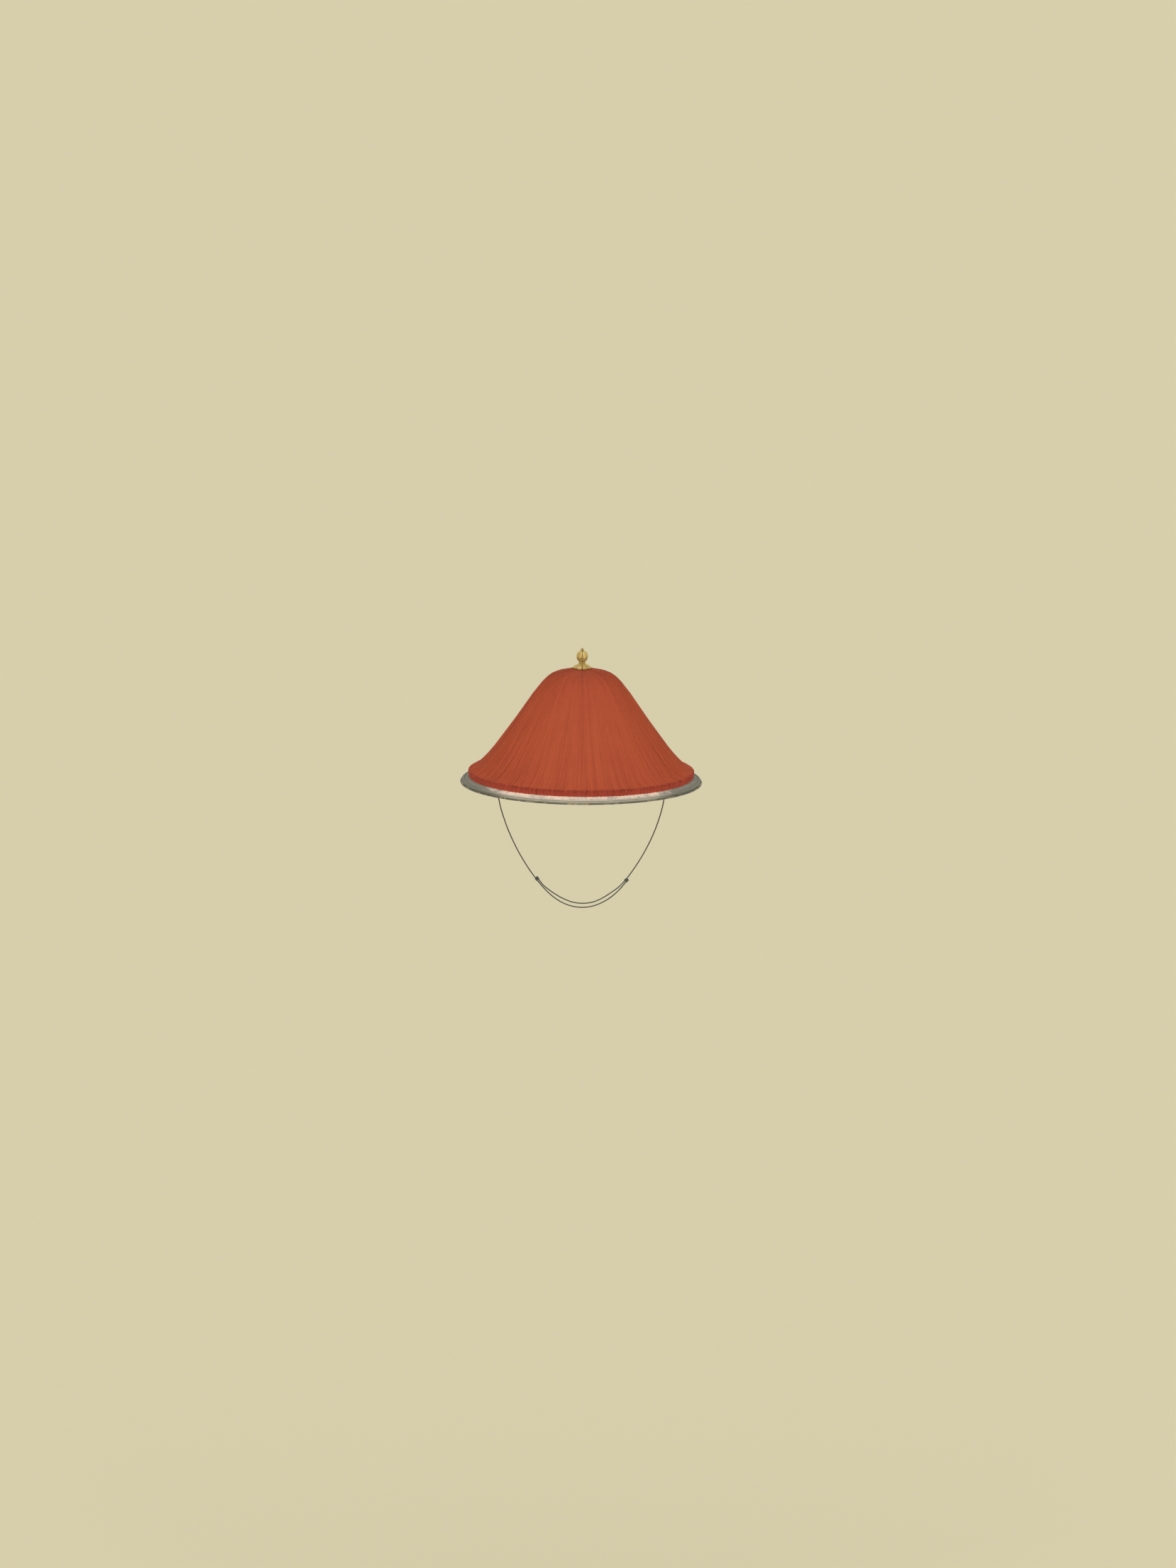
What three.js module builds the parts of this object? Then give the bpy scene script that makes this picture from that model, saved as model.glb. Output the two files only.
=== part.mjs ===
import * as THREE from "three";

// A summer court hat: a bell of woven straw under a red silk fringe, with a gilt finial and a chin strap.
// Millimetres, +Z up. The origin is the centre of the head band's lower edge, level with the brim's edge.

// Driving dimensions
const BRIM_RADIUS = 150; // to the outside of the edge cord
const STRAW_WALL = 2.0;
const GAP = 0.3; // between neighbouring pieces
const SIDES = 44; // facets round the hat, one for each lock of the fringe
const LOCK_COLUMNS = 2; // columns of points across a lock: its groove and its crest
const LOCK_RELIEF = 1.3; // depth of the groove between two locks at the hem
const HEM_NOTCH = 0.9; // rise of the hem in a groove
const HEM_UNEVEN = 0.5; // how much shorter the shortest lock is
const UNEVEN_STEP = 2.4; // radians of the wave of lengths from one lock to the next
const BRIM_SLOPE = THREE.MathUtils.degToRad(28.8); // fall of the brim past the fringe
const EDGE_CORD_RADIUS = 0.9;
const EDGE_CORD_SIDES = 6;
const TAPE = 0.8; // thickness of the binding
const FLAP = 3.2; // width of the binding on each face of the brim
const HEAD_RADIUS = 95;
const BAND_WALL = 3;
const SMALL_SIDES = 12; // facets round the post and the tip
const BEND_STEPS = 6; // facets of a half round
const POST_RADIUS = 1.6;
const BORE_RADIUS = POST_RADIUS + GAP;
const DISC_RADIUS = 7;
const DISC_THICK = 1.5;
const STRAP_RADIUS = 0.8;
const STRAP_X = 106.4; // where each cord hangs from its loop
const LOOP_BOTTOM = 14;
const LOOP_THICK = 4;
const LOOP_HALF_WIDTH = 5;
const KNOT_LENGTH = 4.5;
const KNOT_WALL = 0.7; // from a strand to the outside of its knot
const KNOT_OFFSET = 2.0; // between the strand that passes and the one that ends

// The crest of the silk from the top down, and its depth over the straw
const SILK = [
  { r: 4, z: 142.4, depth: 3.2 },
  { r: 26, z: 139.5, depth: 3.4 },
  { r: 36, z: 136.6, depth: 3.5 },
  { r: 42, z: 132.6, depth: 3.7 },
  { r: 50, z: 124.7, depth: 3.9 },
  { r: 60, z: 111.8, depth: 4.1 },
  { r: 75, z: 90.1, depth: 4.5 },
  { r: 92, z: 65.1, depth: 5.0 },
  { r: 107, z: 45.0, depth: 5.6 },
  { r: 120, z: 29.4, depth: 6.2 },
  { r: 131, z: 19.0, depth: 6.8 },
  { r: 140.5, z: 14.3, depth: 7.4 },
];
const HEM = { r: 139.4, z: 6.9 }; // the cut lower edge

// The finial. Heights are above each piece's own foot, and relief is how far its lobes stand out.
const FINIAL_FOOT = SILK[0].z + GAP;
const BASE = [
  { r: 3.9, z: 6.3, relief: 0.0 },
  { r: 4.4, z: 5.6, relief: 0.2 },
  { r: 6.4, z: 4.5, relief: 0.5 },
  { r: 9.2, z: 2.8, relief: 0.6 },
  { r: 10.9, z: 1.0, relief: 0.7 },
  { r: 10.6, z: 0.0, relief: 0.6 },
];
const COLLAR = [
  { r: 3.2, z: 1.5, relief: 0.0 },
  { r: 4.4, z: 0.8, relief: 0.5 },
  { r: 3.2, z: 0.0, relief: 0.0 },
];
const BALL = [
  { r: 2.6, z: 13.6, relief: 0.1 },
  { r: 5.0, z: 12.2, relief: 0.5 },
  { r: 6.6, z: 9.9, relief: 0.2 },
  { r: 7.2, z: 8.6, relief: -0.5 },
  { r: 7.2, z: 5.0, relief: -0.5 },
  { r: 6.6, z: 3.7, relief: 0.2 },
  { r: 5.0, z: 1.4, relief: 0.5 },
  { r: 3.2, z: 0.0, relief: 0.1 },
];
const TIP = [
  { r: 0.0, z: 3.1 },
  { r: 1.1, z: 2.8 },
  { r: 2.0, z: 1.9 },
  { r: 2.1, z: 1.2 },
  { r: 1.4, z: 0.4 },
  { r: 1.9, z: 0.0 },
  { r: 0.0, z: 0.0 },
];
const PETALS = 8;
const BEADS = 10;
const POINTS_PER_LOBE = 4;

// Each cord of the chin strap hangs in the plane y = 0: x and z from its loop to its far end
const LEFT_ROUTE = [
  [-106.4, 13.7], [-106.4, 8], [-106.2, 3], [-105.6, -4], [-104.2, -12], [-102.2, -22], [-99.6, -34],
  [-95.6, -46.8], [-90.8, -60.2], [-85, -73.6], [-78.4, -87], [-70.8, -100.4], [-62.4, -113.4],
  [-54.6, -124], [-45.6, -134.8], [-35.2, -144.8], [-23.4, -152.8], [-10.6, -157.8], [2.8, -159.4],
  [16.4, -157.4], [29, -152.1], [40.2, -144.5], [49.6, -135.5], [56.5, -127],
];
const RIGHT_ROUTE = [
  [106.4, 13.7], [106.4, 8], [106.2, 3], [105.8, -4], [104.8, -12], [103, -22], [100.6, -34],
  [97, -46.8], [92.4, -60.2], [86.8, -73.6], [80.2, -87], [72.6, -100.4], [64.4, -113],
  [56.6, -123.8], [48, -133], [37.4, -141], [26.8, -147.8], [15.6, -152.6], [3.6, -154.2],
  [-8.6, -153], [-20.2, -148.8], [-30.4, -143.2], [-38.6, -137.6], [-46.1, -131.4], [-51.4, -124.8],
];
const KNOT_POINT = 13; // the point of each route that the other cord's knot holds
const STRAP_STEPS = 36;
const STRAP_SIDES = 8;

const material = (color, roughness, metalness = 0) =>
  new THREE.MeshStandardMaterial({ color, roughness, metalness });
const STRAW = material(0xcfc6b4, 0.85);
const SILK_RED = material(0xad4b34, 0.6);
const RIBBON = material(0xb9b2a2, 0.7);
const DARK_CORD = material(0x38414e, 0.6);
const GILT = material(0xbea555, 0.35, 1);
const BAND_CLOTH = material(0x8d3a2c, 0.8);
const STRAP_SILK = material(0x59616a, 0.7);

const hat = new THREE.Group();

function add(name, geometry, look) {
  const mesh = new THREE.Mesh(geometry, look);
  mesh.name = name;
  hat.add(mesh);
  return mesh;
}

// Outward normal of a line of { r, z } that runs from the top down, at row i
function normalAt(line, i) {
  const before = line[Math.max(i - 1, 0)];
  const after = line[Math.min(i + 1, line.length - 1)];
  const length = Math.hypot(after.r - before.r, before.z - after.z);
  return { r: (before.z - after.z) / length, z: (after.r - before.r) / length };
}

// The line moved out along its normals, or in where the distance is negative
function offset(line, distanceAt) {
  return line.map((row, i) => {
    const normal = normalAt(line, i);
    const distance = distanceAt(row);
    return { r: row.r + normal.r * distance, z: row.z + normal.z * distance };
  });
}

// Height of a line of { r, z } at radius r
function heightAt(line, r) {
  const i = line.findIndex((row) => row.r > r);
  const part = (r - line[i - 1].r) / (line[i].r - line[i - 1].r);
  return THREE.MathUtils.lerp(line[i - 1].z, line[i].z, part);
}

// A profile of { r, z } that runs from the top down on the outside, turned round the Z axis
function lathe(profile, sides) {
  const points = profile.map((row) => new THREE.Vector2(row.r, row.z)).reverse();
  return new THREE.LatheGeometry(points, sides).rotateX(Math.PI / 2);
}

// A closed ring of such a profile
const turned = (profile, sides) => lathe([...profile, profile[0]], sides);

// Rings of points, each closed, joined one after the other and the last to the first. The first ring
// is the top one, and the rings then run down the outside.
function ringSolid(rings) {
  const positions = [];
  const starts = [];
  for (const ring of rings) {
    starts.push(positions.length / 3);
    for (const point of ring) positions.push(point.x, point.y, point.z);
  }
  const faces = [];
  rings.forEach((upper, k) => {
    const next = (k + 1) % rings.length;
    const lower = rings[next];
    const above = (i) => starts[k] + (i % upper.length);
    const below = (i) => starts[next] + (i % lower.length);
    let i = 0;
    let j = 0;
    while (i < upper.length || j < lower.length) {
      const stepBelow = j < lower.length && (j + 1) / lower.length <= (i + 1) / upper.length;
      if (stepBelow) faces.push(above(i), below(j), below(++j));
      else faces.push(above(i), below(j), above(++i));
    }
  });
  const geometry = new THREE.BufferGeometry();
  geometry.setAttribute("position", new THREE.Float32BufferAttribute(positions, 3));
  geometry.setIndex(faces);
  geometry.computeVertexNormals();
  return geometry;
}

// One ring: placeAt(turn, column) gives the { r, z } of each point, and turn starts at the front
function ring(count, placeAt) {
  return Array.from({ length: count }, (_, column) => {
    const turn = (2 * Math.PI * column) / count;
    const { r, z } = placeAt(turn, column);
    return new THREE.Vector3(r * Math.sin(turn), -r * Math.cos(turn), z);
  });
}

// The brim's edge: the middle of the straw's end, and the directions along and out of the brim
const along = { r: Math.cos(BRIM_SLOPE), z: -Math.sin(BRIM_SLOPE) };
const out = { r: Math.sin(BRIM_SLOPE), z: Math.cos(BRIM_SLOPE) };
const edgeBack = EDGE_CORD_RADIUS + GAP + TAPE + GAP;
const edgeMiddle = {
  r: BRIM_RADIUS - EDGE_CORD_RADIUS - along.r * edgeBack,
  z: -along.z * edgeBack,
};
const fromEdge = (outward, onward) => ({
  r: edgeMiddle.r + out.r * outward + along.r * onward,
  z: edgeMiddle.z + out.z * outward + along.z * onward,
});

// The straw bell
const strawUnderSilk = offset(SILK, (row) => -row.depth);
const strawOuter = [
  { r: BORE_RADIUS, z: strawUnderSilk[0].z },
  ...strawUnderSilk,
  fromEdge(STRAW_WALL / 2, 0),
];
const strawInner = [
  { r: BORE_RADIUS, z: strawUnderSilk[0].z - STRAW_WALL },
  ...offset(strawOuter, () => -STRAW_WALL).slice(1),
];
add("hat_body", turned([...strawOuter, ...strawInner.toReversed()], SIDES), STRAW);

// The silk fringe: locks with a groove between each two, fused to a smooth backing on the straw
function silkFringe() {
  const columns = SIDES * LOCK_COLUMNS;
  const isGroove = (column) => column % LOCK_COLUMNS === 0;
  const rings = SILK.map((row, i) => {
    const normal = normalAt(SILK, i);
    const groove = (LOCK_RELIEF * row.r) / BRIM_RADIUS;
    return ring(columns, (turn, column) => {
      const depth = isGroove(column) ? groove : 0;
      return { r: row.r - normal.r * depth, z: row.z - normal.z * depth };
    });
  });
  const hem = ring(columns, (turn, column) => {
    const lock = Math.floor(column / LOCK_COLUMNS);
    const shorter = (HEM_UNEVEN * (1 + Math.sin(lock * UNEVEN_STEP))) / 2;
    const notch = isGroove(column) ? HEM_NOTCH : 0;
    return { r: HEM.r - notch, z: HEM.z + shorter + notch };
  });
  const backing = offset(strawUnderSilk, () => GAP).map((row) => ring(SIDES, () => row));
  return ringSolid([...rings, hem, ...backing.reverse()]);
}
add("fringe", silkFringe(), SILK_RED);

// The ribbon folded over the brim's edge, and the cord outside it
const inside = STRAW_WALL / 2 + GAP;
const outside = inside + TAPE;
const binding = [
  fromEdge(outside, -FLAP),
  fromEdge(outside, GAP),
  fromEdge(STRAW_WALL / 2, GAP + TAPE),
  fromEdge(-STRAW_WALL / 2, GAP + TAPE),
  fromEdge(-outside, GAP),
  fromEdge(-outside, -FLAP),
  fromEdge(-inside, -FLAP),
  fromEdge(-inside, GAP),
  fromEdge(inside, GAP),
  fromEdge(inside, -FLAP),
];
add("brim_binding", turned(binding, SIDES), RIBBON);
const edgeCordPath = BRIM_RADIUS - EDGE_CORD_RADIUS;
const edgeCord = new THREE.TorusGeometry(edgeCordPath, EDGE_CORD_RADIUS, EDGE_CORD_SIDES, SIDES);
add("edge_cord", edgeCord, DARK_CORD);

// The gilt finial: petals and beads are waves round the axis, with a groove at the front
function chased(rows, lobes, foot) {
  const points = lobes * POINTS_PER_LOBE;
  const lobed = rows.map((row) =>
    ring(points, (turn) => ({
      r: row.r - (row.relief * (Math.cos(lobes * turn) - 1)) / 2,
      z: foot + row.z,
    })));
  const bottom = ring(points, () => ({ r: BORE_RADIUS, z: foot + rows.at(-1).z }));
  const top = ring(points, () => ({ r: BORE_RADIUS, z: foot + rows[0].z }));
  return ringSolid([...lobed, bottom, top]);
}
const collarFoot = FINIAL_FOOT + BASE[0].z + GAP;
const ballFoot = collarFoot + COLLAR[0].z + GAP;
const tipFoot = ballFoot + BALL[0].z + GAP;
add("finial_base", chased(BASE, PETALS, FINIAL_FOOT), GILT);
add("finial_collar", chased(COLLAR, BEADS, collarFoot), GILT);
add("finial_ball", chased(BALL, PETALS, ballFoot), GILT);
const tip = TIP.map((row) => ({ r: row.r, z: tipFoot + row.z }));
add("finial_tip", lathe(tip, SMALL_SIDES), GILT);

// The hidden post, with the disc that clamps the crown from inside
const discTop = heightAt(strawInner, DISC_RADIUS) - GAP;
const post = [
  { r: 0, z: tipFoot - GAP },
  { r: POST_RADIUS, z: tipFoot - GAP },
  { r: POST_RADIUS, z: discTop },
  { r: DISC_RADIUS, z: discTop },
  { r: DISC_RADIUS, z: discTop - DISC_THICK },
  { r: 0, z: discTop - DISC_THICK },
];
add("finial_post", lathe(post, SMALL_SIDES), GILT);

// The head band, a plain ring whose top edge follows the inside of the crown, where it is sewn
const bandOuter = HEAD_RADIUS + BAND_WALL;
const bandTop = (r) => {
  const slope = heightAt(strawInner, r - 1) - heightAt(strawInner, r);
  return heightAt(strawInner, r) - GAP * Math.hypot(1, slope);
};
const headBand = [
  { r: HEAD_RADIUS, z: bandTop(HEAD_RADIUS) },
  { r: bandOuter, z: bandTop(bandOuter) },
  { r: bandOuter, z: 0 },
  { r: HEAD_RADIUS, z: 0 },
];
add("head_band", turned(headBand, SIDES), BAND_CLOTH);

// The tabs that the chin strap hangs from, sewn to the outside of the head band
function strapLoop(name, side) {
  const near = bandOuter + GAP;
  const shape = new THREE.Shape();
  shape.moveTo(near, -LOOP_HALF_WIDTH);
  shape.lineTo(STRAP_X, -LOOP_HALF_WIDTH);
  shape.absarc(STRAP_X, 0, LOOP_HALF_WIDTH, -Math.PI / 2, Math.PI / 2, false);
  shape.lineTo(near, LOOP_HALF_WIDTH);
  const options = { depth: LOOP_THICK, bevelEnabled: false, curveSegments: BEND_STEPS };
  const loop = add(name, new THREE.ExtrudeGeometry(shape, options), BAND_CLOTH);
  loop.position.z = LOOP_BOTTOM;
  loop.rotation.z = side < 0 ? Math.PI : 0;
}
strapLoop("strap_loop_left", -1);
strapLoop("strap_loop_right", 1);

// The chin strap: two cords, each ending against the knot round the other
const spot = ([x, z]) => new THREE.Vector3(x, 0, z);

function strapCord(name, route) {
  const section = new THREE.Shape();
  section.absarc(0, 0, STRAP_RADIUS, 0, 2 * Math.PI, false);
  const options = {
    steps: STRAP_STEPS,
    curveSegments: STRAP_SIDES,
    bevelEnabled: false,
    extrudePath: new THREE.CatmullRomCurve3(route.map(spot)),
  };
  add(name, new THREE.ExtrudeGeometry(section, options), STRAP_SILK);
}
strapCord("strap_cord_left", LEFT_ROUTE);
strapCord("strap_cord_right", RIGHT_ROUTE);

// A knot round the strand of a route: side is 1 where the ending strand lies on the loop's inside
function strapKnot(name, route, side) {
  const centre = spot(route[KNOT_POINT]);
  const onward = spot(route[KNOT_POINT + 1]).sub(spot(route[KNOT_POINT - 1])).normalize();
  const towardsEnd = new THREE.Vector3(0, 0, 1).addScaledVector(onward, -onward.z).normalize();
  towardsEnd.multiplyScalar(side);
  const reach = STRAP_RADIUS + KNOT_WALL;
  const shape = new THREE.Shape();
  shape.absarc(0, 0, reach, Math.PI / 2, 1.5 * Math.PI, false);
  shape.absarc(KNOT_OFFSET, 0, reach, -Math.PI / 2, Math.PI / 2, false);
  const bore = new THREE.Path();
  bore.absarc(0, 0, STRAP_RADIUS + GAP, 0, 2 * Math.PI, true);
  shape.holes.push(bore);
  const options = { depth: KNOT_LENGTH, bevelEnabled: false, curveSegments: BEND_STEPS };
  const geometry = new THREE.ExtrudeGeometry(shape, options).translate(0, 0, -KNOT_LENGTH / 2);
  const knot = add(name, geometry, STRAP_SILK);
  const across = new THREE.Vector3().crossVectors(onward, towardsEnd);
  const turn = new THREE.Matrix4().makeBasis(towardsEnd, across, onward);
  knot.quaternion.setFromRotationMatrix(turn);
  knot.position.copy(centre);
}
strapKnot("strap_knot_left", LEFT_ROUTE, 1);
strapKnot("strap_knot_right", RIGHT_ROUTE, -1);

export default hat;
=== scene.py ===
"""A summer court hat: woven straw under a red silk fringe, with a gilt finial and a chin strap of cords."""

import math

import bpy
import numpy as np
from mathutils import Matrix, Vector


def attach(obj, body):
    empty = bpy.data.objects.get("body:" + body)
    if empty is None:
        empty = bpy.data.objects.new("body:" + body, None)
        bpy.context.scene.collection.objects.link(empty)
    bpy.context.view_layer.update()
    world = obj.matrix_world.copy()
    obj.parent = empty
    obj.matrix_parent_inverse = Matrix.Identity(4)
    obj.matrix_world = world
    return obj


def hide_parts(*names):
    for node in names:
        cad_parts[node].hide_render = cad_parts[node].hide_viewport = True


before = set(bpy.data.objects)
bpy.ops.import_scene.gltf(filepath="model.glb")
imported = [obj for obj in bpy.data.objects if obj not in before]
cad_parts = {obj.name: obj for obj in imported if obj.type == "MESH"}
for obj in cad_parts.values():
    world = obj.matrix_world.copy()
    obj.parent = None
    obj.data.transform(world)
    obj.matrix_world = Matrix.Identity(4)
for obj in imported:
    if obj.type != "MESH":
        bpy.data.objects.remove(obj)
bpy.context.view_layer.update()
rng = np.random.default_rng(31)
FULL_TURN = 2 * math.pi

# Driving dimensions, in metres: the straw bell, what finishes its edge, and the head band
BRIM_RADIUS = 0.150
BRIM_SLOPE = math.radians(28.8)
STRAW_WALL = 0.002
GAP = 0.0003  # between neighbouring pieces
STRAW_RIBS = 120
RIB_RELIEF = 0.00012
WEAVE_FROM = 0.126  # the radius from which the brim's top is woven
WEAVE_STRANDS = 366  # round the hat
WEAVE_ROWS = 7
WEAVE_THICKNESS = 0.0004
WEAVE_RELIEF = 0.00022
TAPE = 0.0008  # thickness of the ribbon
FLAP = 0.0032  # how far the ribbon reaches in from the brim's edge
STITCHES = 280
STITCH_THREAD = 0.00020
STITCH_DRAW = 0.00016
EDGE_CORD_RADIUS = 0.0009
EDGE_CORD_TURNS = 234
GOLD_TURNS = 130
GOLD_THREAD = 0.00026
HEAD_RADIUS = 0.095
BAND_WALL = 0.003
BAND_SOFT = 0.0006  # radius of its rounded edges
LOOP_BOTTOM = 0.014
LOOP_THICK = 0.004
LOOP_HALF_WIDTH = 0.005
LOOP_SOFT = 0.0007
BORE_RADIUS = 0.0019

# The silk's body and its locks
LOCKS = 44
LOCK_RELIEF = 0.0013
HEM_NOTCH = 0.0009
HEM_UNEVEN = 0.0005
UNEVEN_STEP = 2.4
BODY_SINK = 0.0005  # how far the body lies under the crest of its strands
HEM_SINK = 0.0024  # and how far its edge lies behind the cut ends
SWELL = 0.0012  # how far the silk swells up just outside the finial's foot
SWELL_RADIUS = 0.0128
SWELL_WIDTH = 0.0040

# The strands, and the cut ends under them
STRANDS = 2300  # in each of the two layers
STRAND_HALF_WIDTH = 0.00034
STRAND_FLATNESS = 0.32
STRAND_SWAY = 0.0025
STRAND_PULL = 0.012  # towards the middle of its lock
STRAND_SINK = 0.00035  # how far the lowest strands lie under the crest
LOW_LIFT = 0.00020
HIGH_LIFT = 0.00042
GROOVE_SHARE = 0.20  # how much of the groove between two locks the strands leave open
STRAND_END = 0.989  # share of the crest's length where the strands stop and the cut ends begin
END_LAYERS = 11
ENDS_IN_LAYER = 1350
END_LENGTH = 0.005
END_RADIUS = 0.00044
# Shares at which a strand has its points, closer where the crown and the flare bend
STRAND_PLACES = (0.030, 0.050, 0.10, 0.145, 0.18, 0.215, 0.26, 0.35, 0.56, 0.78, 0.85, 0.90, 0.935, 0.965,
                 STRAND_END)

# The silk's tone
STREAK_CONTRAST = 0.26
STREAKS_LOW_DOWN = 720
STREAKS_ON_CROWN = 330
CROWN_RADIUS = 0.045  # where the crown's streaks begin to give way
FLARE_RADIUS = 0.115  # and where they are gone
RIM_PAINTED_SHADE = 0.20  # painted shade: how much darker the highest row of cut ends, under the strands, is
# Painted shade and light: how much darker the silk is near the top of the crown and on the flare than on
# the slope between, which is painted lighter
PAINTED_SHADE_RADII = (0.034, 0.064, 0.100, 0.130)
PAINTED_SHADES = (0.20, -0.08, -0.08, 0.0)

# The chin strap
STRAP_RADIUS = 0.0008
STRAP_LAY = 0.0046  # length of one full turn of the strap's plies
STRAP_X = 0.1064
KNOT_LENGTH = 0.0045
KNOT_OFFSET = 0.0020  # between the two strands in a knot
KNOT_THREAD = 0.00038
KNOT_TURNS = 5
KNOT_POINT = 13  # the point of the route where the other cord's knot is

# The crest of the silk from the top down: radius, height, and depth over the straw
SILK = np.array([
    (0.0040, 0.1424, 0.0032),
    (0.0260, 0.1395, 0.0034),
    (0.0360, 0.1366, 0.0035),
    (0.0420, 0.1326, 0.0037),
    (0.0500, 0.1247, 0.0039),
    (0.0600, 0.1118, 0.0041),
    (0.0750, 0.0901, 0.0045),
    (0.0920, 0.0651, 0.0050),
    (0.1070, 0.0450, 0.0056),
    (0.1200, 0.0294, 0.0062),
    (0.1310, 0.0190, 0.0068),
    (0.1405, 0.0143, 0.0074),
])
HEM = np.array((0.1394, 0.0069))  # the cut lower edge

# The strap's two cords hang in the plane y = 0: x and z from the tab to the far end
LEFT_ROUTE = [
    (-0.1064, 0.0137), (-0.1064, 0.008), (-0.1062, 0.003), (-0.1056, -0.004), (-0.1042, -0.012),
    (-0.1022, -0.022), (-0.0996, -0.034), (-0.0956, -0.0468), (-0.0908, -0.0602), (-0.085, -0.0736),
    (-0.0784, -0.087), (-0.0708, -0.1004), (-0.0624, -0.1134), (-0.0546, -0.124), (-0.0456, -0.1348),
    (-0.0352, -0.1448), (-0.0234, -0.1528), (-0.0106, -0.1578), (0.0028, -0.1594), (0.0164, -0.1574),
    (0.029, -0.1521), (0.0402, -0.1445), (0.0496, -0.1355), (0.0565, -0.127),
]
RIGHT_ROUTE = [
    (0.1064, 0.0137), (0.1064, 0.008), (0.1062, 0.003), (0.1058, -0.004), (0.1048, -0.012),
    (0.103, -0.022), (0.1006, -0.034), (0.097, -0.0468), (0.0924, -0.0602), (0.0868, -0.0736),
    (0.0802, -0.087), (0.0726, -0.1004), (0.0644, -0.113), (0.0566, -0.1238), (0.048, -0.133),
    (0.0374, -0.141), (0.0268, -0.1478), (0.0156, -0.1526), (0.0036, -0.1542), (-0.0086, -0.153),
    (-0.0202, -0.1488), (-0.0304, -0.1432), (-0.0386, -0.1376), (-0.0461, -0.1314), (-0.0514, -0.1248),
]

# The finial's outlines from the top down: radius, height above the piece's foot, and relief of its lobes
FINIAL_FOOT = SILK[0, 1] + GAP
BASE = np.array([
    (0.0039, 0.0063, 0.0),
    (0.0044, 0.0056, 0.0002),
    (0.0064, 0.0045, 0.0005),
    (0.0092, 0.0028, 0.0006),
    (0.0109, 0.0010, 0.0007),
    (0.0106, 0.0, 0.0006),
])
COLLAR = np.array([
    (0.0032 + 0.0012 * math.cos(a), 0.00075 + 0.00075 * math.sin(a), 0.0005 * math.cos(a))
    for a in np.linspace(math.pi / 2, -math.pi / 2, 9)
])
BALL = np.array([
    (0.0026, 0.0136, 0.0001),
    (0.0050, 0.0122, 0.0005),
    (0.0066, 0.0099, 0.0002),
    (0.0072, 0.0086, -0.0005),
    (0.0072, 0.0050, -0.0005),
    (0.0066, 0.0037, 0.0002),
    (0.0050, 0.0014, 0.0005),
    (0.0032, 0.0, 0.0001),
])
TIP = np.array([
    (0.0003, 0.0031),
    (0.0011, 0.0028),
    (0.0020, 0.0019),
    (0.0021, 0.0012),
    (0.0014, 0.0004),
    (0.0019, 0.0),
])
TIP_SHADE = 0.50  # how much darker the bud is than the ball
BASE_SHADE = 0.30
PETALS = 8
BEADS = 10
TIP_GROOVES = 4
BEAD_DEPTH = 0.0007

# The view: the picture's size in pixels, where the hat's origin lies in it, and the scale
PICTURE_SIZE = (1659, 2212)
ORIGIN_PIXEL = (819.8, 1102.5)
METRES_PER_PIXEL = 0.0008798
VIEW_ELEVATION = math.radians(10.8)
VIEW_ROLL = math.radians(0.5)
LENS_MM = 200
SENSOR_MM = 36

# The floor and the light
FLOOR_Z = -1.2
FLOOR_REACH = 60
PAPER = (0.672, 0.614, 0.428)
BACKDROP = (0.672, 0.610, 0.413)  # beyond the floor: the floor's own tone as it is lit
SKY = (0.97, 0.96, 0.90)
SKY_STRENGTH = 0.64
SUN_STRENGTH = 1.6
SUN_SPREAD = math.radians(50)
SUN_TILT = math.radians(40)

# Where the straw and the ribbon change tone: how far to the side, or from the axis
# painted shade: between these distances to the side, the brim greys towards its left and right ends
PAINTED_SHADE_ENDS = (0.092, 0.124)
GREY_RIM = (0.1420, 0.1455)
RIBBON_PALE = (0.1466, 0.1471)
RIBBON_GREY = (0.1478, 0.1481)

# Colours by tone
FLOSS_TONES = [(0.0, (0.264, 0.045, 0.0212)), (0.5, (0.415, 0.073, 0.0290)), (1.0, (0.52, 0.099, 0.0385))]
# painted light: the cut ends are coloured much lighter than the floss, to lift them out of the shade on the
# hem's lower face
CUT_TONES_PAINTED_LIGHT = [(0.0, (0.26, 0.040, 0.0230)), (0.5, (0.68, 0.119, 0.073)), (1.0, (0.80, 0.160, 0.098))]
STRAW_TONES = [(0.0, (0.90, 0.715, 0.56)), (0.45, (0.62, 0.53, 0.43)), (1.0, (0.21, 0.205, 0.165))]
STRAW_SHADOW = (0.30, 0.27, 0.22)  # between its threads
RIBBON_TONES = [(0.0, (0.16, 0.155, 0.12)), (0.5, (0.37, 0.355, 0.265)), (1.0, (0.60, 0.49, 0.41))]
EDGE_TONES = [(0.0, (0.035, 0.032, 0.024)), (1.0, (0.22, 0.20, 0.15))]
STITCH_TONES = [(0.0, (0.10, 0.10, 0.09)), (1.0, (0.30, 0.29, 0.25))]
STRAP_TONES = [(0.0, (0.040, 0.043, 0.041)), (1.0, (0.22, 0.24, 0.21))]
BAND_TONES = [(0.0, (0.13, 0.022, 0.014)), (1.0, (0.27, 0.055, 0.032))]
GOLD_TONES = [(0.3, (0.66, 0.51, 0.17)), (0.7, (0.88, 0.74, 0.32))]
TARNISH = (0.24, 0.10, 0.04)


# Camera, floor and light

def add_object(name, data):
    made = bpy.data.objects.new(name, data)
    bpy.context.scene.collection.objects.link(made)
    return made


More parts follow.
